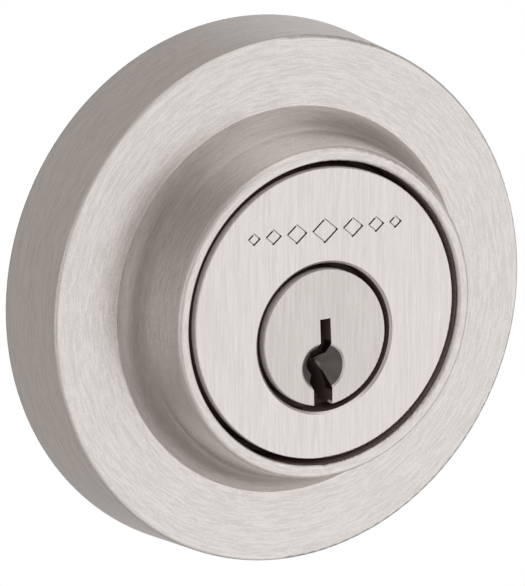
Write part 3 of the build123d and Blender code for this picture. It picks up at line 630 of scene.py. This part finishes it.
HEAD_SIDE = (14.4 * MM, 15.4 * MM)
HEAD_HOLES = (0.0, 14.4 * MM)
PLUG_SIDE = (6.7 * MM, 7.2 * MM)
PLUG_HOLES = (0.0, 6.7 * MM)
PLUG_SHANK = (6.3 * MM, 8.0 * MM)
DIMPLE = (0.0, 2.68 * MM)
DIMPLE_Z = DRIVE_Z - 3.0 * MM
COVE = (17.0 * MM, 19.86 * MM)
BORE = (0.0, 15.7 * MM)
PLATE_Y = -9.15 * MM

ROSE_PAINTED_SHADE = (
    # painted shade in the cove at the boss's foot
    SkinOrShade(PLATE_Y - 2.30 * MM, PLATE_Y - 0.80 * MM, COVE_PAINTED_SHADE, roughness=0.36, ring=COVE),
    # painted shade deep in the rose's bore
    SkinOrShade(RIM_Y + 0.25 * MM, RIM_Y + 0.80 * MM, BORE_PAINTED_SHADE, ring=BORE, metal=0.0),
)
HEAD_SKINS_AND_SHADE = (
    # painted shade on the walls of the face's holes
    below_face(0.02, 0.06, RECESS_PAINTED_SHADE, ring=HEAD_HOLES, walls=True, metal=0.0),
    below_face(0.04, 0.08, DULL, ring=HEAD_SIDE, walls=True, metal=0.0),
    # painted shade deep below the face
    below_face(0.70, 0.85, RECESS_PAINTED_SHADE, metal=0.0),
    below_face(5.2, 6.0, BRASS, roughness=0.34),
)
PLUG_SKINS_AND_SHADE = (
    # painted shade on the keyway's walls
    below_face(0.03, 0.15, RECESS_PAINTED_SHADE, ring=PLUG_HOLES, centre_z=DRIVE_Z, walls=True, metal=0.0),
    below_face(0.10, 0.14, SHADOW, roughness=0.45, ring=DIMPLE, centre_z=DIMPLE_Z),
    below_face(0.05, 0.10, DULL, ring=PLUG_SIDE, centre_z=DRIVE_Z, walls=True, metal=0.0),
    # painted shade deep in the gap round the plug, then everywhere deeper down
    below_face(0.85, 1.00, RECESS_PAINTED_SHADE, ring=PLUG_SIDE, centre_z=DRIVE_Z, metal=0.0),
    below_face(1.35, 1.50, RECESS_PAINTED_SHADE, metal=0.0),
    below_face(5.2, 6.0, BRASS, roughness=0.34, ring=PLUG_SHANK, centre_z=DRIVE_Z),
)

FINISHES = {
    finish.name: finish for finish in (
        BrushedMetal("rose_nickel", NICKEL, NICKEL_SHADE, Grain.TURNED, soften=0.35 * MM,
                     skins_and_shade=ROSE_PAINTED_SHADE),
        BrushedMetal("face_nickel", (0.785, 0.748, 0.720), (0.705, 0.668, 0.640), Grain.UPRIGHT,
                     length=3.0 * MM, skins_and_shade=HEAD_SKINS_AND_SHADE),
        BrushedMetal("plug_nickel", (0.690, 0.650, 0.622), (0.615, 0.577, 0.549), Grain.UPRIGHT,
                     length=3.0 * MM, skins_and_shade=PLUG_SKINS_AND_SHADE),
        BrushedMetal("inside_nickel", NICKEL, NICKEL_SHADE, Grain.TURNED, centre_z=DRIVE_Z),
        BrushedMetal("grip_nickel", NICKEL, NICKEL_SHADE, Grain.UPRIGHT, length=2.5 * MM),
        BrushedMetal("bolt_nickel", NICKEL, NICKEL_SHADE, Grain.ACROSS, length=2.5 * MM),
        BrushedMetal("plate_nickel", NICKEL, NICKEL_SHADE, Grain.UPRIGHT, length=3.0 * MM),
        BrushedMetal("turned_brass", BRASS, BRASS_SHADE, Grain.TURNED, centre_z=DRIVE_Z,
                     roughness=0.26),
        BrushedMetal("pin_brass", BRASS, BRASS_SHADE, Grain.ACROSS, roughness=0.26),
        BrushedMetal("spring_wire", (0.62, 0.62, 0.63), (0.48, 0.48, 0.49), Grain.NONE,
                     roughness=0.25),
        GrainyMetal("zinc_plate", (0.63, 0.64, 0.65), (0.52, 0.53, 0.53), roughness=0.36),
        GrainyMetal("cast_zinc", (0.52, 0.52, 0.52), (0.41, 0.41, 0.41), roughness=0.5,
                    depth=0.014 * MM),
        GrainyMetal("hard_steel", (0.28, 0.28, 0.30), (0.20, 0.20, 0.21), roughness=0.38),
        GrainyMetal("black_oxide", (0.045, 0.045, 0.05), (0.02, 0.02, 0.022), roughness=0.5),
        MouldedPlastic("white_nylon", (0.82, 0.81, 0.77), (0.74, 0.73, 0.69)),
    )
}


class Wardrobe:
    """Every finish, made once and handed out by name."""

    def __init__(self) -> None:
        """Start with nothing made."""
        self.made: dict[str, bpy.types.Material] = {}

    def take(self, name: str) -> bpy.types.Material:
        """Return the material of a named finish, made on first use."""
        if name not in self.made:
            self.made[name] = FINISHES[name].make()
        return self.made[name]


@dataclass
class ThreadedScrew:
    """A screw with a modelled helical thread, drawn from its tip along one axis.

    Attributes:
        tip: where the point is, in metres.
        axis: the direction from the point to the head.
        shank: length from the point to the underside of the head.
        root: radius at the bottom of the thread.
        crest: radius at the top of the thread.
        pitch: distance between turns.
        thread: where the thread starts and ends, from the point.
        taper: length over which the point narrows.
        point: radius of the very tip.
        neck: radius of the plain shank above the thread.
        head: distance from the head's underside and radius, up to the head's rim.
        slot: width and length of each slot of the cross.
        slot_depth: depth of the cross.
        sides: corners round the shank.
        steps: rings in one turn of the thread.
        crest_width: steepness of the thread, 1 for a plain vee.
        slot_foot: length of a slot at its foot, as a share of its length at the top.
        sharp_angle: least angle of an edge that stays sharp, in radians.
    """

    tip: Vector
    axis: Vector
    shank: float
    root: float
    crest: float
    pitch: float
    thread: tuple[float, float]
    taper: float
    point: float
    neck: float
    head: list[tuple[float, float]]
    slot: tuple[float, float]
    slot_depth: float
    sides: int = 32
    steps: int = 8
    crest_width: float = 1.25
    slot_foot: float = 0.45
    sharp_angle: float = math.radians(40.0)

    def across(self) -> tuple[Vector, Vector]:
        """Return two directions square to the axis and to each other."""
        first = Vector((0.0, 0.0, 1.0))
        return first, self.axis.cross(first)

    def radius(self, along: float, turn: float) -> float:
        """Return the shank's radius at a distance from the point and a share of a turn.

        Args:
            along: distance from the point in metres.
            turn: angle as a share of a full turn.

        Returns:
            The radius in metres.
        """
        start, end = self.thread
        if along > end:
            return self.neck
        fade = max(0.0, min(1.0, (along - start) / self.pitch, (end - along) / self.pitch))
        tip = self.point / self.root
        narrow = min(1.0, tip + (1.0 - tip) * along / self.taper)
        wave = abs(((along / self.pitch - turn) % 1.0) * 2.0 - 1.0)
        ridge = max(0.0, 1.0 - (1.0 - wave) * self.crest_width)
        return (self.root + (self.crest - self.root) * ridge * fade) * narrow

    def rings(self) -> list[tuple[float, list[float]]]:
        """List the rings of the screw, from the point to the head.

        Returns:
            Each ring's distance from the point and its radius at each side.
        """
        count = int(round(self.shank / self.pitch * self.steps))
        rows = []
        for index in range(count + 1):
            along = self.shank * index / count
            radii = [self.radius(along, side / self.sides) for side in range(self.sides)]
            rows.append((along, radii))
        for along, radius in self.head:
            rows.append((self.shank + along, [radius] * self.sides))
        return rows

    def body(self) -> bmesh.types.BMesh:
        """Build the closed screw before its cross is cut.

        Returns:
            The mesh.
        """
        first, second = self.across()
        mesh = bmesh.new()
        loops = []
        for along, radii in self.rings():
            loop = []
            for side, radius in enumerate(radii):
                angle = 2.0 * math.pi * side / self.sides
                out = first * math.cos(angle) + second * math.sin(angle)
                loop.append(mesh.verts.new(self.tip + self.axis * along + out * radius))
            loops.append(loop)
        for low, high in zip(loops, loops[1:]):
            for side in range(self.sides):
                after = (side + 1) % self.sides
                mesh.faces.new((low[side], low[after], high[after], high[side]))
        mesh.faces.new(loops[0])
        mesh.faces.new(loops[-1])
        bmesh.ops.recalc_face_normals(mesh, faces=mesh.faces)
        return mesh

    def wedge(self, turned: bool) -> bpy.types.Object:
        """Build one tapered slot as a cutter.

        Args:
            turned: whether it runs along the second direction of the cross.

        Returns:
            The cutter.
        """
        first, second = self.across()
        if turned:
            first, second = second, first
        top = self.tip + self.axis * (self.shank + self.head[-1][0])
        mesh = bmesh.new()
        corners = []
        width, length = self.slot
        for depth, share in ((self.slot_depth * 0.2, 1.08), (-self.slot_depth, self.slot_foot)):
            for sign_a, sign_b in SQUARE:
                out = first * (sign_a * length / 2 * share) + second * (sign_b * width / 2)
                corners.append(mesh.verts.new(top + self.axis * depth + out))
        for face in BLOCK_FACES:
            mesh.faces.new([corners[index] for index in face])
        bmesh.ops.recalc_face_normals(mesh, faces=mesh.faces)
        return self.settle(mesh, "slot_cutter")

    @staticmethod
    def settle(mesh: bmesh.types.BMesh, name: str) -> bpy.types.Object:
        """Put a mesh in a linked object, and free it.

        Args:
            mesh: the mesh.
            name: the object's name.

        Returns:
            The object.
        """
        data = bpy.data.meshes.new(name)
        mesh.to_mesh(data)
        mesh.free()
        piece = bpy.data.objects.new(name, data)
        bpy.context.scene.collection.objects.link(piece)
        return piece

    def make(self, name: str) -> bpy.types.Object:
        """Build the screw and cut its cross.

        Args:
            name: the piece's name.

        Returns:
            The finished piece.
        """
        piece = self.settle(self.body(), name)
        cutters = [self.wedge(turned) for turned in (False, True)]
        for cutter in cutters:
            cut = piece.modifiers.new("cross", "BOOLEAN")
            cut.operation = "DIFFERENCE"
            cut.solver = "EXACT"
            cut.object = cutter
        bpy.context.view_layer.update()
        graph = bpy.context.evaluated_depsgraph_get()
        cut_mesh = bpy.data.meshes.new_from_object(piece.evaluated_get(graph))
        piece.modifiers.clear()
        piece.data = cut_mesh
        for cutter in cutters:
            bpy.data.objects.remove(cutter)
        cut_mesh.shade_smooth()
        cut_mesh.set_sharp_from_angle(angle=self.sharp_angle)
        return piece


@dataclass
class SubAssembly:
    """A group of the lock's nodes that is dressed together.

    Attributes:
        wardrobe: where the finishes come from.
        finishes: each node's finish by name.
    """

    wardrobe: Wardrobe
    finishes: dict[str, str] = field(default_factory=dict)

    def dress(self) -> None:
        """Give every node of the group its finish."""
        for name, finish in self.finishes.items():
            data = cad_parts[name].data
            data.materials.clear()
            data.materials.append(self.wardrobe.take(finish))
            LOG.info("%s wears %s", name, finish)

    def adopt(self, piece: bpy.types.Object, body: str, slot: str, finish: str, node: str) -> None:
        """Set a new piece in a node's place.

        Args:
            piece: the new piece.
            body: the body that it rides on.
            slot: the name of a material slot, not used.
            finish: the finish that it wears.
            node: the node that it stands for.
        """
        piece.data.materials.clear()
        piece.data.materials.append(self.wardrobe.take(finish))
        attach(piece, body)
        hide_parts(node)
        LOG.info("%s stands for %s on %s", piece.name, node, body)

    def build(self) -> None:
        """Build the group's own pieces, none unless a group says otherwise."""


@dataclass
class OutsideTrim(SubAssembly):
    """The outside trim: the round rose that covers the door's bore."""

    def __post_init__(self) -> None:
        """List the finish of every node."""
        self.finishes = {"outside_rose": "rose_nickel"}


@dataclass
class KeyCylinder(SubAssembly):
    """The key cylinder: its body, plug, pin stacks and tailpiece.

    Attributes:
        stacks: how many pin stacks it has.
    """

    stacks: int = 5

    def __post_init__(self) -> None:
        """List the finish of every node."""
        self.finishes = {
            "cylinder_body": "face_nickel", "plug": "plug_nickel", "pin_springs": "spring_wire",
            "chamber_plugs": "pin_brass", "plug_cap": "turned_brass", "tailpiece": "zinc_plate",
        }
        for stack in range(1, self.stacks + 1):
            self.finishes[f"key_pin_{stack}"] = "pin_brass"
            self.finishes[f"driver_pin_{stack}"] = "pin_brass"


@dataclass
class Latch(SubAssembly):
    """The tubular latch: its case, hub, bolt, door-edge plates and wood screws.

    Attributes:
        head_radius: radius of a wood screw's head.
        head_depth: depth of its countersunk head.
        root: radius at the bottom of its thread.
        crest: radius at the top of its thread.
        neck: radius of its plain shank.
        pitch: distance between turns of its thread.
        thread_start: where its thread starts, from the point.
        thread_end: where its thread ends, from the head's top.
    """

    head_radius: float = 4.0 * MM
    head_depth: float = 2.0 * MM
    root: float = 1.30 * MM
    crest: float = 1.9 * MM
    neck: float = 1.88 * MM
    pitch: float = 1.6 * MM
    thread_start: float = 0.5 * MM
    thread_end: float = 7.0 * MM

    def __post_init__(self) -> None:
        """List the finish of every node."""
        self.finishes = {
            "bolt_case": "cast_zinc", "case_cover": "zinc_plate", "case_rivets": "zinc_plate",
            "hub": "cast_zinc", "detent_spring": "spring_wire", "bolt": "bolt_nickel",
            "bolt_roller": "hard_steel", "bolt_bar": "zinc_plate", "bar_rivet": "zinc_plate",
            "bar_pin": "hard_steel", "backplate": "zinc_plate", "faceplate": "plate_nickel",
        }

    def build(self) -> None:
        """Build the two wood screws with their threads."""
        low, high = span("faceplate_screws")
        length = high.x - low.x
        heights = {"upper": high.z - self.head_radius, "lower": low.z + self.head_radius}
        for word, z in heights.items():
            screw = ThreadedScrew(
                tip=Vector((low.x, (low.y + high.y) / 2, z)), axis=Vector((1.0, 0.0, 0.0)),
                shank=length - self.head_depth, root=self.root, crest=self.crest,
                pitch=self.pitch, thread=(self.thread_start, length - self.thread_end),
                taper=5.0 * MM, point=0.2 * MM, neck=self.neck,
                head=[(self.head_depth * 0.92, self.head_radius * 0.98),
                      (self.head_depth, self.head_radius * 0.94)],
                slot=(0.9 * MM, 4.2 * MM), slot_depth=1.3 * MM,
            )
            self.adopt(screw.make(f"wood_screw_{word}"), "lock_frame", "satin_nickel",
                       "plate_nickel", "faceplate_screws")


@dataclass
class InsideTrim(SubAssembly):
    """The inside trim: its rose, mounting plate and screws, thumbturn and spindle.

    Attributes:
        head_radius: radius of a mounting screw's head.
        head_height: height of its domed head.
        head_fall: how far the head narrows to its top.
        root: radius at the bottom of its thread.
        crest: radius at the top of its thread.
        neck: radius of its plain shank.
        pitch: distance between turns of its thread.
        thread_start: where its thread starts, from the point.
        thread_end: where its thread ends, from the head's top.
    """

    head_radius: float = 4.3 * MM
    head_height: float = 2.6 * MM
    head_fall: float = 1.5 * MM
    root: float = 2.02 * MM
    crest: float = 2.45 * MM
    neck: float = 2.4 * MM
    pitch: float = 0.80 * MM
    thread_start: float = 0.2 * MM
    thread_end: float = 9.0 * MM

    def __post_init__(self) -> None:
        """List the finish of every node."""
        self.finishes = {
            "inside_rose": "inside_nickel", "mounting_plate": "zinc_plate",
            "rose_set_screw": "black_oxide", "turn_bushing": "white_nylon",
            "thumbturn": "grip_nickel", "retaining_ring": "spring_wire",
            "turn_spindle": "hard_steel", "spindle_pin": "hard_steel",
        }

    def dome(self, steps: int = 6) -> list[tuple[float, float]]:
        """Draw the head's outline, a straight rim under a rounded top.

        Args:
            steps: rings in the rounded top.

        Returns:
            Each ring's height over the head's underside and its radius.
        """
        rim = self.head_height * 0.5
        rows = [(0.0, self.head_radius * 0.97), (self.head_height * 0.05, self.head_radius),
                (rim, self.head_radius)]
        for step in range(1, steps + 1):
            angle = math.pi / 2 * step / steps
            rows.append((rim + (self.head_height - rim) * math.sin(angle),
                         self.head_radius - self.head_fall * (1.0 - math.cos(angle))))
        return rows

    def build(self) -> None:
        """Build the two mounting screws with their threads."""
        low, high = span("mounting_screws")
        length = high.y - low.y
        places = {"left": low.x + self.head_radius, "right": high.x - self.head_radius}
        for word, x in places.items():
            screw = ThreadedScrew(
                tip=Vector((x, low.y, (low.z + high.z) / 2)), axis=Vector((0.0, 1.0, 0.0)),
                shank=length - self.head_height, root=self.root, crest=self.crest,
                pitch=self.pitch, thread=(self.thread_start, length - self.thread_end),
                taper=0.8 * MM, point=1.5 * MM, neck=self.neck,
                head=self.dome(), slot=(1.0 * MM, 4.6 * MM), slot_depth=1.7 * MM,
            )
            self.adopt(screw.make(f"mounting_screw_{word}"), "lock_frame", "zinc_steel",
                       "zinc_plate", "mounting_screws")


@dataclass(frozen=True)
class Lamp:
    """A soft patch of light far away.

    Attributes:
        name: what the patch is for.
        azimuth: direction of the patch in degrees, from +X toward +Y.
        elevation: height of the patch in degrees.
        reach: angle in degrees at which the patch fades out.
        brightness: light in the middle of the patch.
    """

    name: str
    azimuth: float
    elevation: float
    reach: float
    brightness: float

    def direction(self) -> Vector:
        """Return the unit direction toward the patch."""
        flat = math.cos(math.radians(self.elevation))
        turn = math.radians(self.azimuth)
        height = math.sin(math.radians(self.elevation))
        return Vector((flat * math.cos(turn), flat * math.sin(turn), height))

    def shine(self, tree: bpy.types.NodeTree, spot: Socket) -> Socket:
        """Return the patch's light in every direction.

        Args:
            tree: the world's node tree.
            spot: the direction that the light is read from.

        Returns:
            The light's colour socket.
        """
        dot = tree.nodes.new("ShaderNodeVectorMath")
        dot.operation = "DOT_PRODUCT"
        dot.inputs[1].default_value = self.direction()
        tree.links.new(spot, dot.inputs[0])
        ramp = tree.nodes.new("ShaderNodeMapRange")
        ramp.interpolation_type = "SMOOTHSTEP"
        ramp.inputs[1].default_value = math.cos(math.radians(self.reach))
        tree.links.new(dot.outputs["Value"], ramp.inputs[0])
        patch = tree.nodes.new("ShaderNodeVectorMath")
        patch.operation = "SCALE"
        patch.inputs[0].default_value = [part * self.brightness for part in LAMP_TINT]
        tree.links.new(ramp.outputs[0], patch.inputs["Scale"])
        return patch.outputs[0]


AMBIENT: Colour = (0.44, 0.42, 0.41)
LAMP_TINT: Colour = (0.97, 1.00, 1.02)
LAMPS = (
    Lamp("front", -45.0, -10.0, 36.0, 0.6),
    Lamp("front high", -65.0, 25.0, 34.0, 0.5),
    Lamp("left", -120.0, -5.0, 34.0, 0.4),
    Lamp("low", -70.0, -45.0, 36.0, 0.4),
    Lamp("low right", -20.0, -45.0, 36.0, 0.3),
    Lamp("right", 10.0, 0.0, 40.0, 0.2),
    Lamp("behind", 60.0, 0.0, 35.0, 0.2),
    Lamp("top", -60.0, 70.0, 40.0, 0.6),
)


@dataclass
class Studio:
    """Plain pale room, soft light and the camera.

    Attributes:
        azimuth: camera's angle round the lock.
        elevation: camera's angle above it.
        distance: from the camera to the lock's origin.
        lens: focal length in millimetres.
        sensor: sensor width in millimetres.
        aim: how far the camera's middle is right of and above the origin.
        clip_behind: how far past the origin the main view reaches.
        drop: gap between the lock and the floor.
        reach: half the floor's width.
        white: colour of the floor and the card.
        card_depth: how far the card stands behind the origin.
        card_right: the card's left and right edges.
        card_up: the card's lower and upper edges.
    """

    azimuth: float = math.radians(-29.9)
    elevation: float = math.radians(13.3)
    distance: float = 1.0144
    lens: float = 685.7
    sensor: float = 36.0
    aim: tuple[float, float] = (1.87 * MM, -1.19 * MM)
    clip_behind: float = 16.5 * MM
    drop: float = 12.0 * MM
    reach: float = 1.5
    white: Colour = (1.0, 1.0, 1.0)
    card_depth: float = 1.8 * MM
    card_right: tuple[float, float] = (-27.0 * MM, -17.6 * MM)
    card_up: tuple[float, float] = (-6.0 * MM, 17.0 * MM)

    def axes(self) -> tuple[Vector, Vector, Vector]:
        """Return the camera's directions.

        Returns:
            Its right, up and back.
        """
        sin_a, cos_a = math.sin(self.azimuth), math.cos(self.azimuth)
        sin_e, cos_e = math.sin(self.elevation), math.cos(self.elevation)
        right = Vector((cos_a, sin_a, 0.0))
        up = Vector((-sin_a * sin_e, cos_a * sin_e, cos_e))
        back = Vector((sin_a * cos_e, -cos_a * cos_e, sin_e))
        return right, up, back

    def camera(self) -> None:
        """Place the camera."""
        right, up, back = self.axes()
        lens = bpy.data.cameras.new("camera")
        lens.sensor_fit = "HORIZONTAL"
        lens.sensor_width = self.sensor
        lens.lens = self.lens
        lens.clip_start = 0.1
        lens.clip_end = self.distance + self.clip_behind
        body = bpy.data.objects.new("camera", lens)
        spot = back * self.distance + right * self.aim[0] + up * self.aim[1]
        turn = Matrix((right, up, back)).transposed().to_4x4()
        body.matrix_world = Matrix.Translation(spot) @ turn
        bpy.context.scene.collection.objects.link(body)
        bpy.context.scene.camera = body

    def panel(self, name: str, corners: list[Vector]) -> bpy.types.Object:
        """Build a flat four-cornered panel that isn't part of the lock.

        Args:
            name: the panel's name.
            corners: its corners in order.

        Returns:
            The panel.
        """
        mesh = bpy.data.meshes.new(name)
        mesh.from_pydata([tuple(corner) for corner in corners], [], [(0, 1, 2, 3)])
        panel = bpy.data.objects.new(name, mesh)
        bpy.context.scene.collection.objects.link(panel)
        panel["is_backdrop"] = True
        return panel

    def staging(self, name: str, shader: str, one_sided: bool) -> bpy.types.Material:
        """Return a white material for what stands round the lock, seen by the eye alone.

        Light passes through it, so that it neither lights nor shades the lock.

        Args:
            name: the material's name.
            shader: the type of the white shader node.
            one_sided: whether it is also clear from behind.

        Returns:
            The finished material.
        """
        sheet = Sheet(name)
        nodes = sheet.tree.nodes
        nodes.remove(sheet.shader)
        white = nodes.new(shader)
        white.inputs["Color"].default_value = (*self.white, 1.0)
        mix = nodes.new("ShaderNodeMixShader")
        seen: Socket = nodes.new("ShaderNodeLightPath").outputs["Is Camera Ray"]
        if one_sided:
            back = nodes.new("ShaderNodeNewGeometry").outputs["Backfacing"]
            seen = sheet.sum("MULTIPLY", seen, sheet.sum("SUBTRACT", 1.0, back))
        sheet.join(seen, mix.inputs[0])
        sheet.join(nodes.new("ShaderNodeBsdfTransparent").outputs[0], mix.inputs[1])
        sheet.join(white.outputs[0], mix.inputs[2])
        sheet.join(mix.outputs[0], sheet.output.inputs["Surface"])
        return sheet.material

    def floor(self) -> None:
        """Lay a wide pale floor under the lock."""
        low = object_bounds()[0][2] - self.drop
        corners = [Vector((self.reach * a, self.reach * b, low)) for a, b in SQUARE]
        floor = self.panel("floor", corners)
        floor.data.materials.append(self.staging("floor", "ShaderNodeBsdfDiffuse", one_sided=False))

    def card(self) -> None:
        """Stand a small white card by the rose, to keep the latch out of the main view."""
        right, up, back = self.axes()
        (left, inner), (low, high) = self.card_right, self.card_up
        base = back * -self.card_depth
        places = ((left, low), (inner, low), (inner, high), (left, high))
        corners = [base + right * a + up * b for a, b in places]
        card = self.panel("card", corners)
        card.data.materials.append(self.staging("card", "ShaderNodeEmission", one_sided=True))

    def sky(self) -> None:
        """Light the room from soft patches all round, and show white to the eye."""
        world = bpy.data.worlds.new("studio")
        bpy.context.scene.world = world
        world.use_nodes = True
        tree = world.node_tree
        tree.nodes.clear()
        spot = tree.nodes.new("ShaderNodeTexCoord").outputs["Generated"]
        total: Socket | None = None
        for lamp in LAMPS:
            add = tree.nodes.new("ShaderNodeVectorMath")
            add.operation = "ADD"
            tree.links.new(lamp.shine(tree, spot), add.inputs[0])
            if total is None:
                add.inputs[1].default_value = AMBIENT
            else:
                tree.links.new(total, add.inputs[1])
            total = add.outputs[0]
        light = tree.nodes.new("ShaderNodeBackground")
        tree.links.new(total, light.inputs["Color"])
        white = tree.nodes.new("ShaderNodeBackground")
        white.inputs["Color"].default_value = (*self.white, 1.0)
        path = tree.nodes.new("ShaderNodeLightPath")
        mix = tree.nodes.new("ShaderNodeMixShader")
        output = tree.nodes.new("ShaderNodeOutputWorld")
        tree.links.new(path.outputs["Is Camera Ray"], mix.inputs[0])
        tree.links.new(light.outputs[0], mix.inputs[1])
        tree.links.new(white.outputs[0], mix.inputs[2])
        tree.links.new(mix.outputs[0], output.inputs["Surface"])

    def build(self) -> None:
        """Build the whole studio."""
        self.camera()
        self.floor()
        self.card()
        self.sky()
        bpy.context.scene.view_settings.view_transform = "Standard"


def main() -> None:
    """Build the studio, then build and dress each sub-assembly."""
    logging.basicConfig(level=logging.INFO, format="%(name)s: %(message)s")
    Studio().build()
    wardrobe = Wardrobe()
    for kind in (OutsideTrim, KeyCylinder, Latch, InsideTrim):
        group = kind(wardrobe)
        group.build()
        group.dress()


if __name__ == "__main__":
    main()
